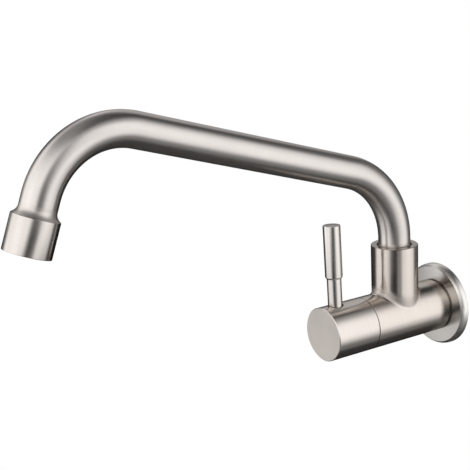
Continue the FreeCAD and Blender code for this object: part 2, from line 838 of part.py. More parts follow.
def aerator_washer():
    """Flat rubber washer above the aerator."""
    return at_nozzle(ring(aerator_washer_bore, aerator_thread_root, washer_top, shell_top))


def aerator_shell():
    """Threaded ring that holds the aerator's inner pieces, with four key notches at the mouth."""
    outline = [(aerator_bore_radius, shell_top)]
    outline += ridges(aerator_thread_radius, aerator_thread_root, aerator_thread_pitch,
                      shell_top, shell_end)
    outline += [(aerator_lip_radius, shell_end), (aerator_lip_radius, shell_ledge),
                (aerator_bore_radius, shell_ledge)]
    shell = turned(outline)
    notch = Part.makeBox(2 * aerator_thread_radius, aerator_key_width, aerator_key_deep + 1,
                         Vector(aerator_lip_radius - 1, -aerator_key_width / 2,
                                shell_end - aerator_key_deep))
    for quarter in range(4):
        shell = shell.cut(notch.rotated(Vector(), UP, 90 * quarter))
    return at_nozzle(solid_of(shell))


def jet_plate():
    """Plastic insert that breaks the water into jets."""
    plate = rod(insert_radius, jet_plate_top, screen_top)
    jets = []
    for centre_radius, count in zip(jet_ring_radii, jet_ring_counts):
        for place in range(count):
            angle = 2 * math.pi * place / count
            centre = Vector(centre_radius * math.cos(angle), centre_radius * math.sin(angle), 0)
            jets.append(rod(jet_radius, jet_plate_top - 1, screen_top + 1).translated(centre))
    return at_nozzle(solid_of(plate.cut(Part.makeCompound(jets))))


def holed_disc(cells, low, high):
    """A disc with closed (x, y) outlines cut through it."""
    wires = [Part.Wire(Part.makeCircle(insert_radius, Vector(0, 0, low)))]
    for cell in cells:
        corners = [Vector(x, y, low) for x, y in cell]
        wires.append(Part.makePolygon(corners + corners[:1]))
    face = Part.Face(wires[0])
    face = face.cut(Part.makeCompound([Part.Face(wire) for wire in wires[1:]]))
    return solid_of(face.Faces[0].extrude(Vector(0, 0, high - low)))


def aerator_screen():
    """Woven screen drawn as a plate of square openings."""
    half = (screen_pitch - screen_bar) / 2
    limit = insert_radius - screen_bar
    reach = int(insert_radius / screen_pitch)
    cells = []
    for column in range(-reach, reach + 1):
        for row in range(-reach, reach + 1):
            x, y = column * screen_pitch, row * screen_pitch
            if math.hypot(abs(x) + half, abs(y) + half) < limit:
                cells.append([(x - half, y - half), (x + half, y - half),
                              (x + half, y + half), (x - half, y + half)])
    return at_nozzle(holed_disc(cells, screen_top, grid_top))


def aerator_grid():
    """Honeycomb outlet that straightens the stream."""
    corner = (grid_pitch - grid_bar) / math.sqrt(3)
    row_pitch = grid_pitch * math.sqrt(3) / 2
    limit = insert_radius - grid_bar
    reach = int(insert_radius / row_pitch) + 1
    cells = []
    for row in range(-reach, reach + 1):
        for column in range(-reach, reach + 1):
            x = (column + (row % 2) / 2) * grid_pitch
            y = row * row_pitch
            if math.hypot(x, y) + corner < limit:
                angles = [math.radians(60 * side + 30) for side in range(6)]
                cells.append([(x + corner * math.cos(a), y + corner * math.sin(a)) for a in angles])
    return at_nozzle(holed_disc(cells, grid_top, shell_ledge))


pieces = [
    wall_flange, flange_seal, inlet_connector, connector_ring, valve_body, cartridge_bonnet,
    bonnet_ring, seat_seal, fixed_disc, moving_disc, thrust_ring, cartridge_spindle, spindle_rings,
    spindle_clip, handle_hub, spindle_adapter, adapter_screw, lever_stem, lever_grip, spout_tube,
    spout_spigot, spigot_rings, glide_bush, thrust_washer, spout_grub_screw, nozzle_collar,
    aerator_washer, aerator_shell, jet_plate, aerator_screen, aerator_grid,
]

os.makedirs("parts", exist_ok=True)
for piece in pieces:
    shape = piece()
    shape.exportStep("parts/" + piece.__name__ + ".step")
    print(piece.__name__, len(shape.Solids), round(shape.Volume, 2), shape.isValid())
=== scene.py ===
"""Wall-mounted kitchen tap: fine geometry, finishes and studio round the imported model.

Lengths are in metres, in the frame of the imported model: +Y points into the wall, +Z points up.
A depth is a distance out of the wall, along -Y, and a height is above the body's axis.
"""
import json
import math

import bmesh
import bpy
from bpy.props import FloatProperty, FloatVectorProperty, IntProperty, PointerProperty
from mathutils import Euler, Matrix, Vector


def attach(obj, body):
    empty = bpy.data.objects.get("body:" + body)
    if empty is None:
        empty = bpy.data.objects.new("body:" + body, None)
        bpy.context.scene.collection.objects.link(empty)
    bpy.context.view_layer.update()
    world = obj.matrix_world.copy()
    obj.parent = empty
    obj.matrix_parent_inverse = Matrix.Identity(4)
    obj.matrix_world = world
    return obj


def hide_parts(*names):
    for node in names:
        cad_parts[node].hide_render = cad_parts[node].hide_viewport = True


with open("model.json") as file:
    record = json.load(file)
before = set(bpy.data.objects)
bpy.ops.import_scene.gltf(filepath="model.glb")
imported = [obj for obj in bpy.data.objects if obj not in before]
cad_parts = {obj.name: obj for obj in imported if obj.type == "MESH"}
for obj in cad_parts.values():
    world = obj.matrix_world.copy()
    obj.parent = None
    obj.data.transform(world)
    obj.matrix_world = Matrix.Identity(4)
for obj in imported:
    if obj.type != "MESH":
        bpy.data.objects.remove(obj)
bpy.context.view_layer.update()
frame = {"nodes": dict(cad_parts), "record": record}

bl_info = {
    "name": "Wall-mounted kitchen tap",
    "version": (1, 0, 0),
    "blender": (4, 5, 0),
    "location": "3D View > Sidebar > Tap",
    "description": "Fine geometry, brushed steel finishes and a studio for a wall-mounted kitchen tap",
    "category": "Object",
}

MM = 0.001
UV_NAME = "UVMap"
# The gap round a fitted piece, the rounding of a crisp edge, and how near doubles lie
FIT_GAP, CRISP_EDGE, MERGE_GAP = 0.05 * MM, 0.12 * MM, 0.0005 * MM


def length(name, description, millimetres):
    """A size that a user would change, given in millimetres."""
    return FloatProperty(name=name, description=description, default=millimetres * MM, unit="LENGTH",
                         precision=5)


def angle(name, description, degrees):
    """An angle that a user would change, given in degrees."""
    return FloatProperty(name=name, description=description, default=math.radians(degrees),
                         subtype="ANGLE")


def share(name, description, value):
    """A factor between 0 and 1."""
    return FloatProperty(name=name, description=description, default=value, min=0, max=1,
                         subtype="FACTOR")


def colour(name, description, value):
    """A plain colour."""
    return FloatVectorProperty(name=name, description=description, default=value, subtype="COLOR",
                               min=0, max=1)


class SpoutSizes(bpy.types.PropertyGroup):
    """Sizes of the bent tube and its route."""

    tube_radius: length("Tube radius", "Outer radius of the tube", 11.0)
    tube_wall: length("Tube wall", "Wall of the tube", 1.2)
    axis_depth: length("Swivel depth", "Depth of the swivel axis", 41.9)
    foot_height: length("Foot height", "Height of the tube's foot in its socket", 38.0)
    riser_height: length("Riser height", "Height at which the first bend starts", 55.9)
    first_bend: length("First bend", "Centre-line radius of the first bend", 53.8)
    run_rise: angle("Rise", "Rise of the straight run", 16.9)
    run_length: length("Run", "Length of the straight run", 161.7)
    second_bend: length("Second bend", "Centre-line radius of the second bend", 49.35)
    second_turn: angle("Second turn", "Angle through which the second bend turns", 86.25)
    nozzle_straight: length("Nozzle straight", "Straight end before the nozzle", 4.9)
    sides: IntProperty(name="Sides", description="Faces round the tube", default=96, min=12)


class NozzleSizes(bpy.types.PropertyGroup):
    """Sizes of the flared nozzle and of the screen inside it."""

    radius: length("Radius", "Radius of the plain cylinder", 14.24)
    height: length("Height", "Height of the plain cylinder", 21.0)
    neck: length("Neck", "Height of the flared neck", 6.5)
    neck_fillet: length("Neck fillet", "Radius of the hollow of the neck", 5.0)
    neck_slope: angle("Neck slope", "Steepest slope of the neck", 50.0)
    lip: length("Lip", "Size of the step where the neck meets the cylinder", 0.3)
    bore: length("Bore", "Radius of the threaded mouth", 12.08)
    screen_radius: length("Screen radius", "Radius of the woven screen", 10.15)
    screen_pitch: length("Screen pitch", "Distance between the wires of the screen", 1.0)
    wire_radius: length("Wire radius", "Radius of a wire of the screen", 0.09)


class BodySizes(bpy.types.PropertyGroup):
    """Sizes of the body, the wall flange and the inlet connector."""

    body_radius: length("Body radius", "Radius of the valve body", 18.4)
    seam_depth: length("Seam depth", "Depth of the seam between body and hub", 71.3)
    seam_gap: length("Seam", "Width of the seam between body and hub", 0.3)
    flange_radius: length("Flange radius", "Radius of the wall flange", 29.4)
    flange_depth: length("Flange depth", "Depth of the flange's face", 6.0)
    flange_rim: length("Flange rim", "Straight part of the rim beside the wall", 2.1)
    flange_rounding: length("Flange rounding", "Width of the rounding of the rim", 1.35)
    flange_bevel: length("Flange bevel", "Width of the bevel round the face", 0.45)
    inlet_radius: length("Inlet thread", "Crest radius of the inlet thread", 10.478)
    inlet_pitch: length("Inlet pitch", "Pitch of the inlet thread", 1.814)
    inlet_deep: length("Inlet thread depth", "Depth of the inlet thread", 1.162)
    key_flats: length("Key", "Width across the flats of the key socket", 13.0)


class LeverSizes(bpy.types.PropertyGroup):
    """Sizes of the lever's grip and its place on the hub."""

    depth: length("Depth", "Depth of the lever's axis", 94.1)
    setback: length("Setback", "Distance of that axis behind the hub's face", 11.5)
    lean: angle("Lean", "Lean of the closed lever about +Y", -2.06)
    grip_radius: length("Grip radius", "Radius of the grip", 5.93)
    grip_bottom: length("Grip bottom", "Height of the grip's lower end", 37.0)
    grip_top: length("Grip top", "Height of the grip's upper end", 73.4)


class SteelFinish(bpy.types.PropertyGroup):
    """Colour and grain of the brushed steel, and the colour of the brass."""

    tint: colour("Steel", "Reflected colour of the steel", (0.64, 0.596, 0.563))
    edge_tint: colour("Edge tint", "Light kept where the steel is seen edge-on", (0.5, 0.5, 0.5))
    roughness: share("Roughness", "Roughness of the brushed surface", 0.22)
    stretch: share("Stretch", "How far the grain draws out a highlight", 0.6)
    grain_depth: length("Grain depth", "Height of the finest lines of the grain", 0.0012)
    line_width: length("Line width", "Width of the finest lines of the grain", 0.12)
    # Painted shade: the share of the steel's colour left at the edges of the seam between body and hub
    painted_seam_shade: share("Seam shade", "Share of the colour that is left in a seam", 0.2)
    brass: colour("Brass", "Reflected colour of the brass", (0.72, 0.53, 0.27))


class StudioSettings(bpy.types.PropertyGroup):
    """Floor, surroundings and camera."""

    floor: colour("Floor", "Colour of the floor", (0.9, 0.9, 0.9))
    floor_drop: FloatProperty(name="Floor drop", description="Height of the tap's axis above the floor",
                              default=1.0, unit="LENGTH")
    tent_radius: FloatProperty(name="Tent radius", description="Radius of the light tent",
                               default=3.0, unit="LENGTH")
    fill: FloatProperty(name="Fill", description="Level of the tent between the soft boxes",
                        default=0.055, min=0)
    lens: FloatProperty(name="Lens", description="Focal length on a 36 mm sensor", default=78.9486)


def sizes(name):
    """One of the property groups of this scene."""
    return getattr(bpy.context.scene, "tap_" + name)


class Board:
    """A node tree, with short calls that add nodes and join them."""

    def __init__(self, tree):
        self.tree = tree
        self.column = 0

    def add(self, kind, inputs=None, **settings):
        """Add a node, set it up and feed its inputs with values or with other nodes' outputs."""
        node = self.tree.nodes.new(kind)
        node.location = (180 * (self.column % 12), -260 * (self.column // 12))
        self.column += 1
        for name, value in settings.items():
            setattr(node, name, value)
        for key, value in (inputs or {}).items():
            self.feed(node.inputs[key], value)
        return node

    def feed(self, socket, value):
        """Give a socket a value or join it to an output."""
        if isinstance(value, bpy.types.NodeSocket):
            self.tree.links.new(value, socket)
        else:
            socket.default_value = value

    def made(self, kind, inputs=None, **settings):
        """The first output of a new geometry node."""
        return self.add("GeometryNode" + kind, inputs, **settings).outputs[0]

    def together(self, *pieces):
        """One geometry from several."""
        node = self.add("GeometryNodeJoinGeometry")
        for piece in pieces:
            self.feed(node.inputs[0], piece)
        return node.outputs[0]

    def math(self, operation, *values):
        """A number worked out from numbers."""
        return self.add("ShaderNodeMath", dict(enumerate(values)), operation=operation).outputs[0]

    def vector(self, operation, *values):
        """A vector worked out from vectors."""
        node = self.add("ShaderNodeVectorMath", operation=operation)
        for place, value in enumerate(values):
            key = "Scale" if operation == "SCALE" and place else place
            self.feed(node.inputs[key], value)
        return node.outputs["Value" if operation == "LENGTH" else "Vector"]

    def parts(self, vector):
        """The three numbers of a vector."""
        return self.add("ShaderNodeSeparateXYZ", {0: vector}).outputs

    def joined(self, x, y, z):
        """A vector from three numbers."""
        return self.add("ShaderNodeCombineXYZ", {0: x, 1: y, 2: z}).outputs[0]

    def spread(self, value, low, high, to_low=0.0, to_high=1.0, smooth=False):
        """A number carried from one range to another."""
        settings = {"interpolation_type": "SMOOTHSTEP"} if smooth else {}
        inputs = {"Value": value, "From Min": low, "From Max": high, "To Min": to_low, "To Max": to_high}
        return self.add("ShaderNodeMapRange", inputs, **settings).outputs[0]

    def along_axis(self, vector):
        """How far a position lies along Z."""
        return self.parts(vector)[2]

    def from_axis(self, vector):
        """How far a position lies from Z."""
        x, y, _ = self.parts(vector)
        square = self.math("MULTIPLY_ADD", x, x, self.math("MULTIPLY", y, y))
        return self.math("SQRT", square)

    def round_axis(self, turns, radius, height):
        """The position on a circle about Z after some turns."""
        around = self.math("MULTIPLY", turns, math.tau)
        x, y = (self.math("MULTIPLY", self.math(wave, around), radius) for wave in ("COSINE", "SINE"))
        return self.joined(x, y, height)

    def blend(self, factor, first, second):
        """A colour between two colours."""
        inputs = {0: factor, 6: first, 7: second}
        return self.add("ShaderNodeMix", inputs, data_type="RGBA").outputs[2]


def new_group(name, kind, inputs, outputs):
    """An empty node group with named inputs and outputs, as (board, inputs, output node)."""
    tree = bpy.data.node_groups.new(name, kind)
    for direction, sockets in (("INPUT", inputs), ("OUTPUT", outputs)):
        for label, socket_type, *default in sockets:
            socket = tree.interface.new_socket(label, in_out=direction, socket_type=socket_type)
            if default:
                socket.default_value = default[0]
    board = Board(tree)
    return board, board.add("NodeGroupInput").outputs, board.add("NodeGroupOutput")


def use_group(board, name, inputs):
    """The outputs of a node group placed in a material."""
    return board.add("ShaderNodeGroup", inputs, node_tree=bpy.data.node_groups[name]).outputs


NUMBER, VECTOR, WHOLE = "NodeSocketFloat", "NodeSocketVector", "NodeSocketInt"
GEOMETRY, MATERIAL = "NodeSocketGeometry", "NodeSocketMaterial"


def turned_grain_group():
    """Grain that runs round a turned piece, whose axis is Z through the origin of its vector."""
    board, given, result = new_group("turned_grain", "ShaderNodeTree", [
        ("Vector", VECTOR), ("Line Width", NUMBER, 0.12 * MM), ("Streak Width", NUMBER, 0.9 * MM),
        ("Turns", NUMBER, 1.6),
    ], [("Lines", NUMBER), ("Streaks", NUMBER), ("Handling", NUMBER)])
    x, y, z = board.parts(given["Vector"])
    radius = board.math("MAXIMUM", board.from_axis(given["Vector"]), 0.01 * MM)
    across = board.math("ADD", radius, z)
    round_x = board.math("MULTIPLY", board.math("DIVIDE", x, radius), given["Turns"])
    round_y = board.math("MULTIPLY", board.math("DIVIDE", y, radius), given["Turns"])
    for label, width, detail in (("Lines", "Line Width", 2.0), ("Streaks", "Streak Width", 3.0)):
        vector = board.joined(round_x, round_y, board.math("DIVIDE", across, given[width]))
        noise = board.add("ShaderNodeTexNoise", {"Vector": vector, "Scale": 1.0, "Detail": detail,
                                                 "Roughness": 0.6})
        board.feed(result.inputs[label], noise.outputs[0])
    cloud = board.add("ShaderNodeTexNoise", {"Vector": given["Vector"], "Scale": 45.0, "Detail": 3.0,
                                             "Roughness": 0.55})
    board.feed(result.inputs["Handling"], cloud.outputs[0])


def moulded_group():
    """Fine mottling of moulded, cast or ground pieces."""
    board, given, result = new_group("moulded_surface", "ShaderNodeTree", [
        ("Vector", VECTOR), ("Speck Size", NUMBER, 0.4 * MM), ("Cloud Size", NUMBER, 6 * MM),
    ], [("Specks", NUMBER), ("Clouds", NUMBER)])
    for label, size, detail in (("Specks", "Speck Size", 3.0), ("Clouds", "Cloud Size", 2.0)):
        scale = board.math("DIVIDE", 1.0, given[size])
        noise = board.add("ShaderNodeTexNoise", {"Vector": given["Vector"], "Scale": scale,
                                                 "Detail": detail})
        board.feed(result.inputs[label], noise.outputs[0])


def soft_box_group():
    """Level of one soft-edged box of light, seen in a direction; its angles are in degrees."""
    board, given, result = new_group("soft_box", "ShaderNodeTree", [
        ("Direction", VECTOR), ("Azimuth", NUMBER), ("Elevation", NUMBER), ("Half Width", NUMBER, 40.0),
        ("Half Height", NUMBER, 40.0), ("Edge", NUMBER, 20.0), ("Level", NUMBER, 1.0),
    ], [("Level", NUMBER)])
    level_turn = board.add("ShaderNodeVectorRotate", {
        "Vector": given["Direction"], "Angle": board.math("RADIANS", board.math(
            "MULTIPLY", given["Azimuth"], -1.0))}, rotation_type="Z_AXIS")
    tilted = board.add("ShaderNodeVectorRotate", {
        "Vector": level_turn.outputs[0], "Angle": board.math("RADIANS", given["Elevation"])},
        rotation_type="Y_AXIS")
    x, y, z = board.parts(tilted.outputs[0])
    aside = board.math("DEGREES", board.math("ARCTAN2", y, x))
    above = board.math("DEGREES", board.math("ARCSINE", z))
    masks = []
    for off, half in ((aside, "Half Width"), (above, "Half Height")):
        past = board.math("SUBTRACT", board.math("ABSOLUTE", off), given[half])
        edge = board.math("DIVIDE", past, given["Edge"])
        masks.append(board.spread(edge, 0.5, -0.5, smooth=True))
    both = board.math("MULTIPLY", *masks)
    board.feed(result.inputs["Level"], board.math("MULTIPLY", both, given["Level"]))


def new_material(name, kind="ShaderNodeBsdfPrincipled"):
    """A material with its board and its shader."""
    material = bpy.data.materials.new(name)
    material.use_nodes = True
    material.node_tree.nodes.clear()
    board = Board(material.node_tree)
    shader = board.add(kind)
    board.add("ShaderNodeOutputMaterial", {"Surface": shader.outputs[0]})
    return material, board, shader


def scaled(tint, factor):
    """A colour made lighter or darker, with its alpha."""
    return tuple(min(1.0, part * factor) for part in tint) + (1.0,)


def turning_frame(board, place, turn):
    """The position about a turning axis and the direction across its grain, for a turned surface.

    place is a point of the axis, and turn the Euler angles that carry Z to it.
    """
    position = board.add("ShaderNodeTexCoord").outputs["Object"]
    local = board.add("ShaderNodeMapping", {"Vector": position, "Location": place, "Rotation": turn},
                      vector_type="TEXTURE").outputs[0]
    x, y, _ = board.parts(local)
    around = board.joined(board.math("MULTIPLY", y, -1.0), x, 0.0)
    around = board.add("ShaderNodeMapping", {"Vector": around, "Rotation": turn},
                       vector_type="VECTOR").outputs[0]
    around = board.add("ShaderNodeVectorTransform", {0: around}, vector_type="VECTOR",
                       convert_from="OBJECT", convert_to="WORLD").outputs[0]
    normal = board.add("ShaderNodeNewGeometry").outputs["Normal"]
    across = board.vector("NORMALIZE", board.vector("CROSS_PRODUCT", around, normal))
    return local, across


def tube_frame(board):
    """The same two for the bent tube, from its UV map: metres along it, and turns round it."""
    uv = board.add("ShaderNodeUVMap", uv_map=UV_NAME).outputs[0]
    along, around, _ = board.parts(uv)
    local = board.round_axis(around, sizes("spout").tube_radius, along)
    tangent = board.add("ShaderNodeTangent", direction_type="UV_MAP", uv_map=UV_NAME).outputs[0]
    return local, tangent


def finish_of(slot):
    """The finish that stands for a material slot of the record."""
    return bpy.data.materials[slot + "_finish"]


def mask_of(measure, *ramps, smooth=True):
    """A maker of masks: a measure of the position passes ramps that each go from 0 to 1."""
    def make(board, local):
        value = measure(board, local)
        steps = [board.spread(value, start, end, smooth=smooth) for start, end in ramps]
        return board.math("MULTIPLY", *steps) if len(steps) > 1 else steps[0]
    return make


# How far streaks, clouds and smudges change a finish, as shares of its colour or roughness
STREAK_DARK, STREAK_LIGHT, STREAK_SHEEN = 0.07, 0.05, 0.16
CLOUD_DARK, CLOUD_LIGHT, SMUDGE = 0.06, 0.05, 0.02


def brushed(slot, axes, second=None, tint=(1, 1, 1), rougher=0.0, streaky=0.4, turns=(1.6, 1.6),
            ground=None, ground_rougher=0.0, ground_painted_light=1.0, seam=None):
    """Brushed steel whose grain runs round an axis, or round two that the mask second parts.

    An axis is a point of it and the Euler angles that carry Z to it, or nothing for the bent tube's
    centre line. tint scales the steel's colour, rougher adds to its roughness, and turns says how often
    the grain breaks round each axis. ground is the mask of an area that is ground by hand: there the
    steel is rougher, has clouds of tone, and its colour is scaled by a factor that paints light on it.
    seam is the mask of a seam whose edges are darkened as painted shade; the masks are made from the
    position about the first axis.
    """
    finish = sizes("steel")
    board, shader = new_material(slot + "_finish")[1:]
    frames = [turning_frame(board, *axis) if axis else tube_frame(board) for axis in axes]
    first, tangent = frames[0]
    grains = [use_group(board, "turned_grain", {
        "Vector": local, "Line Width": finish.line_width, "Turns": breaks})
        for (local, _), breaks in zip(frames, turns)]
    lines, streaks, handling = grains[0]
    if second:
        mask = second(board, first)
        lines, streaks = (board.add("ShaderNodeMix", {0: mask, 2: a, 3: b}).outputs[0]
                          for a, b in zip(grains[0][:2], grains[1][:2]))
        tangent = board.add("ShaderNodeMix", {0: mask, 4: tangent, 5: frames[1][1]},
                            data_type="VECTOR").outputs[1]
    base = Vector([whole * part for whole, part in zip(finish.tint, tint)])
    shade = board.blend(board.spread(streaks, 0.3, 0.7),
                        scaled(base, 1 - STREAK_DARK * streaky), scaled(base, 1 + STREAK_LIGHT * streaky))
    mean = finish.roughness + rougher
    if ground:
        area = ground(board, first)
        # Painted light: the colour of a ground area is scaled by a factor that lightens the nozzle's neck
        # and the hub's face and paints a highlight on the flange's rim
        clouds = board.spread(handling, 0.3, 0.7, (1 - CLOUD_DARK) * ground_painted_light,
                              (1 + CLOUD_LIGHT) * ground_painted_light)
        shade = board.blend(area, shade, board.vector("SCALE", base, clouds))
        mean = board.math("MULTIPLY_ADD", area, ground_rougher, mean)
    # Painted shade: the edges of the seam are darkened to a share of the steel's colour
    if seam:
        shade = board.blend(seam(board, first), shade, scaled(base, finish.painted_seam_shade))
    board.feed(shader.inputs["Base Color"], shade)
    swing = STREAK_SHEEN * streaky
    sheen = board.math("MULTIPLY", mean, board.spread(streaks, 0.25, 0.75, 1 - swing, 1 + swing))
    smudge = board.spread(handling, 0.35, 0.65, -SMUDGE, SMUDGE)
    board.feed(shader.inputs["Roughness"], board.math("ADD", sheen, smudge))
    bump = board.add("ShaderNodeBump", {"Strength": 0.6, "Distance": finish.grain_depth, "Height": lines})
    board.feed(shader.inputs["Normal"], bump.outputs[0])
    board.feed(shader.inputs["Tangent"], tangent)
    shader.inputs["Metallic"].default_value = 1.0
    shader.inputs["Anisotropic"].default_value = finish.stretch
    shader.inputs["Specular Tint"].default_value = (*finish.edge_tint, 1)


def solid_finish(slot, tint, roughness, metallic=0.0, specks=0.3, clouds=0.06, bump=0.004,
                 speck_size=0.4):
    """A moulded, ground or machined finish with fine mottling."""
    board, shader = new_material(slot + "_finish")[1:]
    position = board.add("ShaderNodeTexCoord").outputs["Object"]
    surface = use_group(board, "moulded_surface", {"Vector": position, "Speck Size": speck_size * MM})
    tone = board.spread(surface["Clouds"], 0.3, 0.7)
    board.feed(shader.inputs["Base Color"],
               board.blend(tone, scaled(tint, 1 - clouds), scaled(tint, 1 + clouds)))
    board.feed(shader.inputs["Roughness"], board.spread(
        surface["Specks"], 0.25, 0.75, roughness * (1 - specks), min(1.0, roughness * (1 + specks))))
    bump_node = board.add("ShaderNodeBump", {"Strength": 0.5, "Distance": bump * MM,
                                             "Height": surface["Specks"]})
    board.feed(shader.inputs["Normal"], bump_node.outputs[0])
    shader.inputs["Metallic"].default_value = metallic


def new_piece(name, mesh, body, slot, replaced, place=Matrix()):
    """Put a finished mesh in the scene, let it ride on a body, and let it stand for a node."""
    if not mesh.materials:
        mesh.materials.append(finish_of(slot))
    mesh.transform(place)
    mesh.name = name
    piece = bpy.data.objects.new(name, mesh)
    bpy.context.scene.collection.objects.link(piece)
    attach(piece, body)
    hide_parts(*replaced)
    return piece


def closed_shell(mesh, sharp=32.0):
    """Merge doubles, turn the faces outwards and shade the mesh smooth between sharp edges."""
    shell = bmesh.new()
    shell.from_mesh(mesh)
    bmesh.ops.remove_doubles(shell, verts=shell.verts, dist=MERGE_GAP)
    bmesh.ops.recalc_face_normals(shell, faces=shell.faces)
    for face in shell.faces:
        face.smooth = True
    shell.to_mesh(mesh)
    shell.free()
    mesh.set_sharp_from_angle(angle=math.radians(sharp))
    return mesh


def turned_mesh(chains, sides=96, flats=None):
    """A mesh turned about Z from chains of (radius, height) points, in metres.

    Its UV map holds the length along a chain and the turns round the axis. flats gives the chain
    points, as (chain, place), whose radius is half the width across the flats of a hexagon.
    """
    flats = flats or ()
    shell = bmesh.new()
    layer = shell.loops.layers.uv.new(UV_NAME)
    for number, chain in enumerate(chains):
        rings, along = [], [0.0]
        for place, (radius, height) in enumerate(chain):
            if place:
                before = chain[place - 1]
                along.append(along[-1] + math.hypot(radius - before[0], height - before[1]))
            if radius == 0:
                rings.append([shell.verts.new((0, 0, height))] * sides)
                continue
            ring = []
            for side in range(sides):
                around = math.tau * side / sides
                reach = radius
                if (number, place) in flats:
                    reach /= math.cos(around % (math.pi / 3) - math.pi / 6)
                ring.append(shell.verts.new((reach * math.cos(around), reach * math.sin(around), height)))
            rings.append(ring)
        for place in range(len(chain) - 1):
            for side in range(sides):
                after = (side + 1) % sides
                corners = [(rings[place][side], along[place], side),
                           (rings[place][after], along[place], side + 1),
                           (rings[place + 1][after], along[place + 1], side + 1),
                           (rings[place + 1][side], along[place + 1], side)]
                kept = [c for i, c in enumerate(corners) if c[0] not in [d[0] for d in corners[:i]]]
                if len(kept) < 3:
                    continue
                face = shell.faces.new([corner[0] for corner in kept])
                for loop, corner in zip(face.loops, kept):
                    loop[layer].uv = (corner[1], corner[2] / sides)
    mesh = bpy.data.meshes.new("turned")
    shell.to_mesh(mesh)
    shell.free()
    return mesh


def softened(points, sizes_by_place, steps=4):
    """An outline with some corners rounded; a rounding starts that far before its corner."""
    outline = []
    for place, corner in enumerate(points):
        size = sizes_by_place.get(place)
        if not size:
            outline.append(corner)
            continue
        here = Vector(corner)
        ends = []
        for other in (points[place - 1], points[(place + 1) % len(points)]):
            side = Vector(other) - here
            ends.append(here + side.normalized() * min(size, side.length / 2))
        for step in range(steps + 1):
            t = step / steps
            point = ends[0] * (1 - t) ** 2 + here * 2 * t * (1 - t) + ends[1] * t ** 2
            outline.append((point.x, point.y))
    return outline


def arc_points(centre, radius, start, end, steps):
    """Points of an arc of an outline, between two angles in radians."""
    return [(centre[0] + radius * math.cos(start + (end - start) * step / steps),
             centre[1] + radius * math.sin(start + (end - start) * step / steps))
            for step in range(steps + 1)]


def aimed_at(heading, origin=(0, 0, 0)):
    """The place of a piece made about Z whose axis points out of the wall at a heading."""
    return Matrix.Translation(origin) @ Matrix.Rotation(math.pi / 2 - heading, 4, "X")


def heading_vector(heading):
    """Unit vector at a heading above the horizontal, out of the wall."""
    return Vector((0, -math.cos(heading), math.sin(heading)))


def inward_vector(heading):
    """Unit vector from the tube's centre line to the centre of a downward bend."""
    return Vector((0, -math.sin(heading), -math.cos(heading)))


def spout_route():
    """Points of the tube's centre line, with its end and its heading there."""
    spout = sizes("spout")
    here = Vector((0, -spout.axis_depth, spout.foot_height))
    heading = math.pi / 2
    points = [here]
    ring_gap, ring_turn = 4 * MM, 1.5
    steps = (
        (spout.riser_height - spout.foot_height, spout.first_bend, math.pi / 2 - spout.run_rise),
        (spout.run_length, spout.second_bend, spout.second_turn),
        (spout.nozzle_straight, 0.0, 0.0),
    )
    for straight, radius, turn in steps:
        rings = max(2, round(straight / ring_gap))
        step = heading_vector(heading) * straight / rings
        points += [here + step * (ring + 1) for ring in range(rings)]
        here = points[-1]
        if radius:
            centre = here + inward_vector(heading) * radius
            rings = round(math.degrees(turn) / ring_turn)
            for ring in range(rings):
                points.append(centre - inward_vector(heading - turn * (ring + 1) / rings) * radius)
            here, heading = points[-1], heading - turn
    return points, here, heading


def nozzle_place():
    """Where the nozzle's plain cylinder starts, as the place of a piece made about Z."""
    _, end, heading = spout_route()
    return aimed_at(heading, end + heading_vector(heading) * sizes("nozzle").neck)


def run_nodes(mesh, tree, inputs):
    """The mesh that a tree of geometry nodes makes from another, with its named inputs set."""
    carrier = bpy.data.objects.new("carrier", mesh)
    bpy.context.scene.collection.objects.link(carrier)
    modifier = carrier.modifiers.new("nodes", "NODES")
    modifier.node_group = tree
    sockets = {item.name: item.identifier for item in tree.interface.items_tree
               if item.in_out == "INPUT"}
    for name, value in inputs.items():
        modifier[sockets[name]] = value
    bpy.context.view_layer.update()
    evaluated = carrier.evaluated_get(bpy.context.evaluated_depsgraph_get())
    made = bpy.data.meshes.new_from_object(evaluated)
    carrier.modifiers.remove(modifier)
    bpy.data.objects.remove(carrier)
    return made


def geometry_group(name, inputs):
    """An empty group of geometry nodes: its board, its inputs and its output node."""
    return new_group(name, "GeometryNodeTree", [("Geometry", GEOMETRY), *inputs, ("Material", MATERIAL)],
                     [("Geometry", GEOMETRY)])


def geometry_end(board, geometry, material, result):
    """End a tree of geometry nodes: real meshes, with their material."""
    real = board.made("RealizeInstances", {"Geometry": geometry})
    painted = board.made("SetMaterial", {"Geometry": real, "Material": material})
    board.feed(result.inputs[0], painted)
    return board.tree


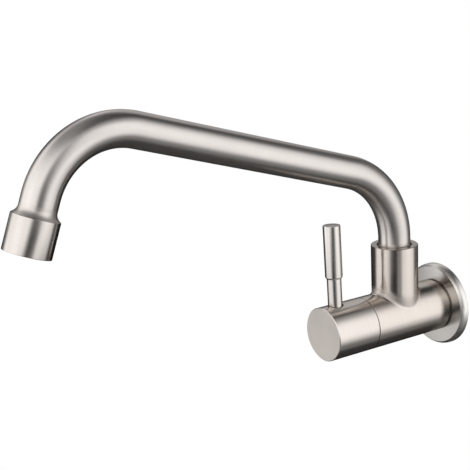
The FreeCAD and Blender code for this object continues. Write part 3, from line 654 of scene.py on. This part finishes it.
def bent_tube_tree():
    """Sweeps a round wall along the line it is given, with a UV map along and round it."""
    board, given, result = geometry_group("bent_tube", [
        ("Radius", NUMBER, 11 * MM), ("Wall", NUMBER, 1.2 * MM), ("Sides", WHOLE, 96)])
    path = board.made("MeshToCurve", {"Mesh": given["Geometry"]})
    along = board.add("GeometryNodeSplineParameter").outputs["Length"]
    path = board.made("StoreNamedAttribute", {"Geometry": path, "Name": "along", "Value": along},
                      data_type="FLOAT", domain="POINT")
    ring = board.made("ResampleCurve", {
        "Curve": board.made("CurvePrimitiveLine"), "Count": board.math("ADD", given["Sides"], 1)})
    turns = board.add("GeometryNodeSplineParameter").outputs["Factor"]
    ring = board.made("StoreNamedAttribute", {"Geometry": ring, "Name": "around", "Value": turns},
                      data_type="FLOAT", domain="POINT")
    turns = board.made("InputNamedAttribute", {"Name": "around"}, data_type="FLOAT")
    spot = board.round_axis(turns, given["Radius"], 0.0)
    ring = board.made("SetPosition", {"Geometry": ring, "Position": spot})
    swept = board.made("CurveToMesh", {"Curve": path, "Profile Curve": ring})
    along = board.made("InputNamedAttribute", {"Name": "along"}, data_type="FLOAT")
    mapped = board.made("StoreNamedAttribute", {
        "Geometry": swept, "Name": UV_NAME, "Value": board.joined(along, turns, 0.0)},
        data_type="FLOAT2", domain="CORNER")
    outer = board.made("MergeByDistance", {"Geometry": mapped, "Distance": 1e-6})
    inward = board.vector("SCALE", board.made("InputNormal"), board.math("MULTIPLY", given["Wall"], -1.0))
    inner = board.made("ExtrudeMesh", {
        "Mesh": outer, "Offset": inward, "Offset Scale": 1.0, "Individual": False})
    both = board.together(board.made("FlipFaces", {"Mesh": inner}), outer)
    shell = board.made("MergeByDistance", {"Geometry": both, "Distance": 1e-6})
    return geometry_end(board, shell, given["Material"], result)


def screw_thread_tree():
    """Adds a right-handed thread, open at both ends, to a piece turned about Z, and closes the joint."""
    board, given, result = geometry_group("screw_thread", [
        ("Crest Radius", NUMBER, 10.478 * MM), ("Thread Depth", NUMBER, 1.162 * MM),
        ("Pitch", NUMBER, 1.814 * MM), ("Start", NUMBER, 0.0), ("Length", NUMBER, 14 * MM),
        ("Sides", WHOLE, 96), ("Rows", WHOLE, 120)])
    grid = board.made("MeshGrid", {
        "Size X": 1.0, "Size Y": 1.0, "Vertices X": board.math("ADD", given["Sides"], 1),
        "Vertices Y": given["Rows"]})
    x, y, _ = board.parts(board.made("InputPosition"))
    turns = board.math("ADD", x, 0.5)
    rise = board.math("MULTIPLY", board.math("ADD", y, 0.5), given["Length"])
    phase = board.math("FRACT", board.math("SUBTRACT", board.math("DIVIDE", rise, given["Pitch"]), turns))
    from_root = board.math("SUBTRACT", 1.0, board.math("ABSOLUTE", board.math(
        "SUBTRACT", board.math("MULTIPLY", phase, 2.0), 1.0)))
    ridge = board.spread(from_root, 0.12, 0.86)
    left = board.math("SUBTRACT", given["Length"], rise)
    run_out = board.math("DIVIDE", board.math("MINIMUM", rise, left), given["Pitch"])
    ridge = board.math("MULTIPLY", ridge, board.spread(run_out, 0.0, 0.7))
    root = board.math("SUBTRACT", given["Crest Radius"], given["Thread Depth"])
    radius = board.math("MULTIPLY_ADD", ridge, given["Thread Depth"], root)
    spot = board.round_axis(turns, radius, board.math("ADD", rise, given["Start"]))
    wall = board.made("SetPosition", {"Geometry": grid, "Position": spot})
    both = board.together(wall, given["Geometry"])
    shell = board.made("MergeByDistance", {"Geometry": both, "Distance": 2e-6})
    return geometry_end(board, shell, given["Material"], result)


def woven_screen_tree():
    """Weaves two sets of wires over and under each other in a round frame."""
    board, given, result = geometry_group("woven_screen", [
        ("Radius", NUMBER, 10 * MM), ("Pitch", NUMBER, 1 * MM), ("Wire Radius", NUMBER, 0.09 * MM),
        ("Wires", WHOLE, 21)])
    back = board.math("MULTIPLY", given["Radius"], -1.0)
    wire = board.made("CurvePrimitiveLine", {
        "Start": board.joined(back, 0.0, 0.0), "End": board.joined(given["Radius"], 0.0, 0.0)})
    wire = board.made("ResampleCurve", {
        "Curve": wire, "Count": board.math("MULTIPLY", given["Wires"], 6)})
    half = board.math("DIVIDE", board.math("SUBTRACT", given["Wires"], 1), -2.0)
    rows = board.made("MeshLine", {
        "Count": given["Wires"], "Offset": board.joined(0.0, given["Pitch"], 0.0),
        "Start Location": board.joined(0.0, board.math("MULTIPLY", half, given["Pitch"]), 0.0)})
    warp = board.made("InstanceOnPoints", {"Points": rows, "Instance": wire})
    warp = board.made("RealizeInstances", {"Geometry": warp})
    position = board.made("InputPosition")
    x, y, z = board.parts(position)
    wave = board.math("COSINE", board.math("MULTIPLY", board.math(
        "DIVIDE", board.math("ADD", x, y), given["Pitch"]), math.pi))
    lift = board.math("MULTIPLY", wave, board.math("MULTIPLY", given["Wire Radius"], 1.08))
    warp = board.made("SetPosition", {"Geometry": warp, "Offset": board.joined(0.0, 0.0, lift)})
    far = board.math("GREATER_THAN", board.vector("LENGTH", position), board.math(
        "MULTIPLY", given["Radius"], 0.985))
    warp = board.made("DeleteGeometry", {"Geometry": warp, "Selection": far}, domain="POINT")
    weft = board.made("Transform", {"Geometry": warp, "Rotation": (0.0, 0.0, math.pi / 2)})
    flat = board.joined(x, y, board.math("MULTIPLY", z, -1.0))
    weft = board.made("SetPosition", {"Geometry": weft, "Position": flat})
    rim = board.made("CurvePrimitiveCircle", {"Resolution": 96, "Radius": board.math(
        "SUBTRACT", given["Radius"], given["Wire Radius"])})
    solids = []
    for curve, factor in ((board.together(warp, weft), 1.0), (rim, 2.0)):
        profile = board.made("CurvePrimitiveCircle", {"Resolution": 8, "Radius": board.math(
            "MULTIPLY", given["Wire Radius"], factor)})
        solids.append(board.made("CurveToMesh", {
            "Curve": curve, "Profile Curve": profile, "Fill Caps": True}))
    return geometry_end(board, board.together(*solids), given["Material"], result)


def stage_object(name, shell, material):
    """An object of the stage from a finished shell."""
    mesh = bpy.data.meshes.new(name)
    shell.to_mesh(mesh)
    shell.free()
    mesh.materials.append(material)
    made = bpy.data.objects.new(name, mesh)
    bpy.context.scene.collection.objects.link(made)
    return made


class TapStudio(bpy.types.Operator):
    """Make the floor, the light tent, the world and the camera"""

    bl_idname = "tap.studio"
    bl_label = "Studio"

    def execute(self, context):
        studio = sizes("studio")
        scene = context.scene
        scene.view_settings.view_transform = "Standard"
        world = bpy.data.worlds.new("white_room")
        scene.world = world
        world.use_nodes = True
        background = world.node_tree.nodes["Background"].inputs
        background["Color"].default_value = (1, 1, 1, 1)
        background["Strength"].default_value = 1.0
        world.cycles_visibility.glossy = world.cycles_visibility.transmission = False
        self.make_floor(studio)
        self.make_tent(studio)
        self.make_camera(scene, studio)
        return {"FINISHED"}

    def make_floor(self, studio):
        """A wide pale disc that keeps the tap's shadow."""
        material, board, shader = new_material("floor_paper")
        shader.inputs["Base Color"].default_value = (*studio.floor, 1)
        shader.inputs["Roughness"].default_value = 1.0
        shader.inputs["Specular IOR Level"].default_value = 0.0
        path = board.add("ShaderNodeLightPath").outputs
        seen = board.math("MAXIMUM", path["Is Camera Ray"], board.math(
            "MAXIMUM", path["Is Glossy Ray"], path["Is Transmission Ray"]))
        shader.inputs["Emission Color"].default_value = (1, 1, 1, 1)
        board.feed(shader.inputs["Emission Strength"],
                   board.math("MULTIPLY", seen, 1.0 - studio.floor[0]))
        shell = bmesh.new()
        bmesh.ops.create_circle(shell, cap_ends=True, segments=96, radius=12.0,
                                matrix=Matrix.Translation((0, 0, -studio.floor_drop)))
        floor = stage_object("floor", shell, material)

    def make_tent(self, studio):
        """Soft boxes and dark cards all round, which only polished and clear pieces show."""
        material, board, light = new_material("tent_light", "ShaderNodeEmission")
        material.cycles.emission_sampling = "NONE"
        position = board.add("ShaderNodeTexCoord").outputs["Object"]
        direction = board.vector("NORMALIZE", board.vector("SUBTRACT", position, TENT_CENTRE))
        level = studio.fill
        names = ("Azimuth", "Elevation", "Half Width", "Half Height", "Edge", "Level")
        for box in SOFT_BOXES:
            inputs = {"Direction": direction, **dict(zip(names, box))}
            level = board.math("ADD", level, use_group(board, "soft_box", inputs)[0])
        board.feed(light.inputs["Color"], board.math("MAXIMUM", level, DARKEST))
        shell = bmesh.new()
        bmesh.ops.create_uvsphere(shell, u_segments=96, v_segments=48, radius=studio.tent_radius)
        for vert in shell.verts:
            vert.co.z = max(vert.co.z, ABOVE_FLOOR - studio.floor_drop)
        tent = stage_object("light_tent", shell, material)
        tent.visible_camera = tent.visible_diffuse = tent.visible_shadow = False
        tent.visible_volume_scatter = False

    def make_camera(self, scene, studio):
        """A camera at the photograph's viewing angle."""
        camera = bpy.data.objects.new("camera", bpy.data.cameras.new("camera"))
        scene.collection.objects.link(camera)
        camera.data.sensor_width = 36.0
        camera.data.lens = studio.lens
        camera.location = CAMERA_PLACE
        camera.rotation_euler = Euler([math.radians(part) for part in CAMERA_TURN])
        camera.data.clip_start, camera.data.clip_end = 0.01, 100.0
        scene.camera = camera


CAMERA_PLACE = (0.52428, -0.49978, 0.23831)
CAMERA_TURN = (75.7193, 2.8266, 57.2107)

# The middle of the light tent, its lowest level, and how far above the floor it ends
TENT_CENTRE, DARKEST, ABOVE_FLOOR = (0.0, -0.15, 0.07), 0.01, 0.02
# Soft boxes and dark cards: azimuth from +X towards +Y and elevation of the middle, half width and
# half height, width of the soft edge, all in degrees, and the level added to the fill
SOFT_BOXES = (
    (-93, 22, 55, 30, 25, 1.25), (-90, 14, 14, 18, 30, 0.18), (-102, -29, 35, 27, 18, 0.67),
    (-100, -24, 22, 12, 14, 0.25), (33, 4, 35, 34, 24, 1.08), (34, 8, 14, 24, 20, 0.27),
    (30, 46, 34, 12, 16, 0.40), (20, -46, 34, 12, 16, 0.18), (-16, 14, 12, 12, 12, 0.16),
    (142, 30, 20, 22, 16, 0.66), (-110, 76, 70, 14, 20, 0.20), (-144, -28, 9, 10, 8, 0.42),
    (92, 8, 20, 26, 20, 0.16), (-10, -18, 14, 8, 10, 0.32), (2, -4, 8, 6, 10, -0.30),
    (-48, -14, 9, 14, 10, -0.45), (-86, -4, 26, 2, 12, -0.50),
    (-172, 48, 24, 10, 12, 0.32), (-166, 6, 10, 8, 8, 0.42), (139, -18, 30, 20, 16, -0.05),
)


class TapFinishes(bpy.types.Operator):
    """Make the brushed steels and the other finishes"""

    bl_idname = "tap.finishes"
    bl_label = "Finishes"

    def execute(self, context):
        turned_grain_group()
        moulded_group()
        soft_box_group()
        spout, body, lever = sizes("spout"), sizes("body"), sizes("lever")
        nozzle = nozzle_place()
        along_body = ((0, 0, 0), (math.pi / 2, 0, 0))
        along_branch = ((0, -spout.axis_depth, 0), (0, 0, 0))
        along_nozzle = (tuple(nozzle.translation), tuple(nozzle.to_euler()))
        along_lever = ((0, -lever.depth, 0), (0, lever.lean, 0))
        beside_body = ((0.4, 0, 0), along_body[1])
        side, face = body.body_radius, lever.depth + lever.setback
        rim, seam, dark = body.flange_radius - 1.4 * MM, body.seam_depth, body.seam_gap / 2 + 0.1 * MM
        lit = dark + 0.1 * MM
        # The flared neck of the nozzle, the rounded rim of the flange and the flat face of the hub:
        # ground areas, rougher, and made lighter as painted light, which on the rim is a painted
        # highlight
        neck_ground_and_painted_light = mask_of(Board.along_axis, (0.1 * MM, -0.5 * MM))
        rim_ground_and_painted_highlight = mask_of(Board.from_axis, (rim - 0.5 * MM, rim))
        face_ground_and_painted_light = mask_of(Board.along_axis, (face - 0.4 * MM, face - 0.1 * MM), smooth=False)
        # The branch, its weld with the body, and the seam between the body and the hub, whose edges are
        # darkened as painted shade
        on_branch = mask_of(Board.from_axis, (side + 0.2 * MM, side + 1.8 * MM))
        on_weld = mask_of(Board.from_axis, (side - 0.1 * MM, side + 1.1 * MM),
                          (side + 7.1 * MM, side + 2.1 * MM))
        seam_painted_shade = mask_of(Board.along_axis, (seam - lit, seam - dark), (seam + lit, seam + dark),
                          smooth=False)

        brushed("tube_steel", [None], tint=(1.06, 1.07, 1.083), rougher=0.09)
        # The nozzle's neck is rougher and made lighter: painted light
        brushed("nozzle_steel", [along_nozzle], ground=neck_ground_and_painted_light, ground_rougher=0.2, ground_painted_light=1.15)
        # The body's edge at the seam is darkened as painted shade
        brushed("body_steel", [along_body, along_branch], on_branch, tint=(1.022, 1, 0.975),
                rougher=-0.03, ground=on_weld, ground_rougher=0.3, seam=seam_painted_shade)
        # The hub's face is rougher and made lighter, as painted light, and the hub's edge at the seam is
        # darkened as painted shade
        brushed("hub_steel", [along_body, beside_body], face_ground_and_painted_light, tint=(1.037, 1.03, 1.02),
                turns=(1.6, 16.0), ground=face_ground_and_painted_light, ground_rougher=0.11, ground_painted_light=1.14, seam=seam_painted_shade)
        brushed("lever_steel", [along_lever], tint=(1.065, 1.08, 1.09), rougher=-0.01)
        # The flange's rim is rougher and made much lighter: a painted highlight
        brushed("flange_steel", [along_body], tint=(0.88, 0.91, 0.92), rougher=-0.03, streaky=0.7,
                turns=(2.2,), ground=rim_ground_and_painted_highlight, ground_rougher=0.14, ground_painted_light=1.45)
        brushed("turned_steel", [along_body], rougher=-0.02)
        brushed("aerator_steel", [along_nozzle], rougher=-0.02)
        solid_finish("fastener_steel", (0.52, 0.51, 0.5), 0.32, metallic=1.0)
        solid_finish("brass", sizes("steel").brass, 0.3, metallic=1.0, clouds=0.08)
        solid_finish("ceramic", (0.86, 0.86, 0.84), 0.12, bump=0.001, clouds=0.02)
        solid_finish("seal_rubber", (0.022, 0.022, 0.022), 0.55, specks=0.2, bump=0.01)
        solid_finish("foam_rubber", (0.05, 0.05, 0.05), 0.85, specks=0.15, bump=0.05, speck_size=0.7)
        solid_finish("slip_plastic", (0.82, 0.82, 0.8), 0.42)
        solid_finish("dark_plastic", (0.03, 0.03, 0.03), 0.45)
        solid_finish("aerator_plastic", (0.72, 0.73, 0.73), 0.4, bump=0.006)
        for part in frame["record"]["subparts"]:
            name = "aerator_steel" if part["node"] == "aerator_shell" else part["material_slot"]
            for slot in frame["nodes"][part["node"]].material_slots:
                slot.material = finish_of(name)
        return {"FINISHED"}


class TapSpout(bpy.types.Operator):
    """Sweep the bent tube"""

    bl_idname = "tap.spout"
    bl_label = "Spout tube"

    def execute(self, context):
        spout = sizes("spout")
        points = spout_route()[0]
        line = bpy.data.meshes.new("route")
        line.from_pydata(points, [(place, place + 1) for place in range(len(points) - 1)], [])
        material = finish_of("tube_steel")
        mesh = run_nodes(line, bent_tube_tree(), {
            "Radius": spout.tube_radius, "Wall": spout.tube_wall, "Sides": spout.sides,
            "Material": material})
        new_piece("bent_tube", closed_shell(mesh), "spout", "tube_steel", ["spout_tube"])
        return {"FINISHED"}


class TapNozzle(bpy.types.Operator):
    """Turn the flared nozzle and weave the screen inside it"""

    bl_idname = "tap.nozzle"
    bl_label = "Nozzle"

    def execute(self, context):
        nozzle, spout = sizes("nozzle"), sizes("spout")
        tube, slope, fillet = spout.tube_radius, nozzle.neck_slope, nozzle.neck_fillet
        lip_radius = nozzle.radius - nozzle.lip
        fillet_radial = fillet * (1 - math.cos(slope))
        cone = (lip_radius - tube - fillet_radial) / math.tan(slope)
        neck_start = -nozzle.lip - cone - fillet * math.sin(slope)
        hollow = arc_points((tube + fillet, neck_start), fillet, math.pi, math.pi - slope, 12)
        spigot, spigot_end = tube - spout.tube_wall - FIT_GAP, -nozzle.neck - 4.4 * MM
        spigot_bore, chamber, chamber_foot = 8.4 * MM, 10.4 * MM, -2 * MM
        pocket, mouth_edge, bore_edge = nozzle.height - 11 * MM, 0.35 * MM, 0.3 * MM
        outline = [
            (spigot_bore, spigot_end), (spigot, spigot_end), (spigot, -nozzle.neck),
            (tube, -nozzle.neck), *hollow, (lip_radius, -nozzle.lip), (nozzle.radius, 0),
            (nozzle.radius, nozzle.height), (nozzle.bore, nozzle.height), (nozzle.bore, pocket),
            (chamber, pocket), (chamber, 0), (spigot_bore, chamber_foot), (spigot_bore, spigot_end),
        ]
        lip = 4 + len(hollow)
        outline = softened(outline, {
            lip: CRISP_EDGE, lip + 1: CRISP_EDGE, lip + 2: mouth_edge, lip + 3: bore_edge})
        mesh = turned_mesh([outline], 128)
        new_piece("flared_nozzle", closed_shell(mesh), "spout", "nozzle_steel", ["nozzle_collar"],
                  nozzle_place())
        wires = 2 * int(nozzle.screen_radius / nozzle.screen_pitch) + 1
        base = bpy.data.meshes.new("screen")
        mesh = run_nodes(base, woven_screen_tree(), {
            "Radius": nozzle.screen_radius, "Pitch": nozzle.screen_pitch, "Wires": wires,
            "Wire Radius": nozzle.wire_radius, "Material": finish_of("fastener_steel")})
        for polygon in mesh.polygons:
            polygon.use_smooth = True
        screen_depth = 4.5 * MM
        place = nozzle_place() @ Matrix.Translation((0, 0, nozzle.height - screen_depth))
        new_piece("woven_screen", mesh, "spout", "fastener_steel", ["aerator_screen"], place)
        return {"FINISHED"}


class TapFlange(bpy.types.Operator):
    """Turn the wall flange"""

    bl_idname = "tap.flange"
    bl_label = "Wall flange"

    def execute(self, context):
        body = sizes("body")
        radius, depth, rim = body.flange_radius, body.flange_depth, body.flange_rim
        width, lip, recess = body.flange_rounding, radius - 3.2 * MM, 2.5 * MM
        bore, boss, wall_edge, face_edge = 11.4 * MM, 14 * MM, 0.25 * MM, 0.1 * MM
        bevel_foot, bevel_depth = radius - width, depth - 0.6 * MM
        rise = bevel_depth - rim
        round_radius = (width ** 2 + rise ** 2) / (2 * width)
        sweep = math.asin(rise / round_radius)
        rounding = arc_points((radius - round_radius, rim), round_radius, 0, sweep, 8)
        outline = [
            (bore, 0), (boss, 0), (boss, recess), (lip, recess), (lip, 0), (radius, 0), *rounding,
            (bevel_foot - body.flange_bevel, depth), (bore, depth), (bore, 0),
        ]
        face = 6 + len(rounding)
        outline = softened(outline, {5: wall_edge, face - 1: face_edge, face: face_edge})
        mesh = turned_mesh([outline], 144)
        new_piece("flange_plate", closed_shell(mesh, sharp=24.0), "body", "flange_steel",
                  ["wall_flange"], aimed_at(0.0))
        return {"FINISHED"}


class TapInlet(bpy.types.Operator):
    """Turn the inlet connector and cut its two threads"""

    bl_idname = "tap.inlet"
    bl_label = "Inlet connector"

    def execute(self, context):
        body = sizes("body")
        tip, chamfer, set_in = -15.7 * MM, 0.8 * MM, 0.3 * MM
        collar_end, top, collar = 9.0 * MM, 19.3 * MM, 11.1 * MM
        bore, half_key, key_end = 6.45 * MM, body.key_flats / 2, tip + 9 * MM
        root = body.inlet_radius - body.inlet_deep
        fine_crest, fine_deep, fine_pitch = 9.0 * MM, 0.6 * MM, 1.0 * MM
        fine_root = fine_crest - fine_deep
        threads = (
            (body.inlet_radius, body.inlet_deep, body.inlet_pitch, tip + chamfer, -set_in, 130),
            (fine_crest, fine_deep, fine_pitch, collar_end, top - chamfer, 150),
        )
        inside = [(root, tip + chamfer), (root - 0.5 * MM, tip), (half_key, tip), (half_key, key_end),
                  (bore, key_end), (bore, top), (fine_root - 0.4 * MM, top), (fine_root, top - chamfer)]
        collar_chain = [(fine_root, collar_end), (collar, collar_end), (collar, set_in), (root, set_in),
                        (root, -set_in)]
        mesh = turned_mesh([inside, collar_chain], 96, flats=((0, 2), (0, 3)))
        tree = screw_thread_tree()
        material = finish_of("turned_steel")
        for crest, deep, pitch, start, end, rows in threads:
            mesh = run_nodes(mesh, tree, {
                "Crest Radius": crest, "Thread Depth": deep, "Pitch": pitch, "Start": start,
                "Length": end - start, "Sides": 96, "Rows": rows, "Material": material})
        new_piece("threaded_inlet", closed_shell(mesh, sharp=40.0), "body", "turned_steel",
                  ["inlet_connector"], aimed_at(0.0))
        return {"FINISHED"}


class TapLever(bpy.types.Operator):
    """Turn the lever's grip"""

    bl_idname = "tap.lever"
    bl_label = "Lever grip"

    def execute(self, context):
        lever = sizes("lever")
        radius, low, high = lever.grip_radius, lever.grip_bottom, lever.grip_top
        bore, bore_end, chamfer_wide, chamfer_tall = 4.08 * MM, low + 21.5 * MM, 0.75 * MM, 1.3 * MM
        outline = [
            (bore, low), (radius - chamfer_wide, low), (radius, low + chamfer_tall), (radius, high),
            (0, high), (0, bore_end), (bore, bore_end), (bore, low),
        ]
        chamfer_edge, end_edge = 0.3 * MM, 0.45 * MM
        outline = softened(outline, {1: CRISP_EDGE, 2: chamfer_edge, 3: end_edge})
        mesh = turned_mesh([outline], 96)
        place = Matrix.Rotation(lever.lean, 4, "Y") @ Matrix.Translation((0, -lever.depth, 0))
        new_piece("lever_sleeve", closed_shell(mesh), "handle", "lever_steel", ["lever_grip"], place)
        return {"FINISHED"}


class TapPanel(bpy.types.Panel):
    """Buttons for each piece of the tap, and its sizes and colours"""

    bl_idname = "VIEW3D_PT_tap"
    bl_label = "Tap"
    bl_space_type = "VIEW_3D"
    bl_region_type = "UI"
    bl_category = "Tap"

    def draw(self, context):
        for operator in OPERATORS:
            self.layout.operator(operator.bl_idname)
        for name in GROUPS:
            group = sizes(name)
            box = self.layout.box()
            box.label(text=name.title())
            for key in group.bl_rna.properties.keys():
                if key not in ("rna_type", "name"):
                    box.prop(group, key)


GROUPS = {"spout": SpoutSizes, "nozzle": NozzleSizes, "body": BodySizes, "lever": LeverSizes,
          "steel": SteelFinish, "studio": StudioSettings}
OPERATORS = (TapFinishes, TapStudio, TapSpout, TapNozzle, TapFlange, TapInlet, TapLever)


def register():
    """Register the classes and hang the property groups on the scene."""
    for each in (*GROUPS.values(), *OPERATORS, TapPanel):
        bpy.utils.register_class(each)
    for name, group in GROUPS.items():
        setattr(bpy.types.Scene, "tap_" + name, PointerProperty(type=group))


def unregister():
    """Take the property groups and the classes away again."""
    for name in GROUPS:
        delattr(bpy.types.Scene, "tap_" + name)
    for each in reversed((*GROUPS.values(), *OPERATORS, TapPanel)):
        bpy.utils.unregister_class(each)


def main():
    """Make every piece in order."""
    register()
    bpy.ops.tap.finishes()
    bpy.ops.tap.studio()
    bpy.ops.tap.spout()
    bpy.ops.tap.nozzle()
    bpy.ops.tap.flange()
    bpy.ops.tap.inlet()
    bpy.ops.tap.lever()


if __name__ == "__main__":
    main()
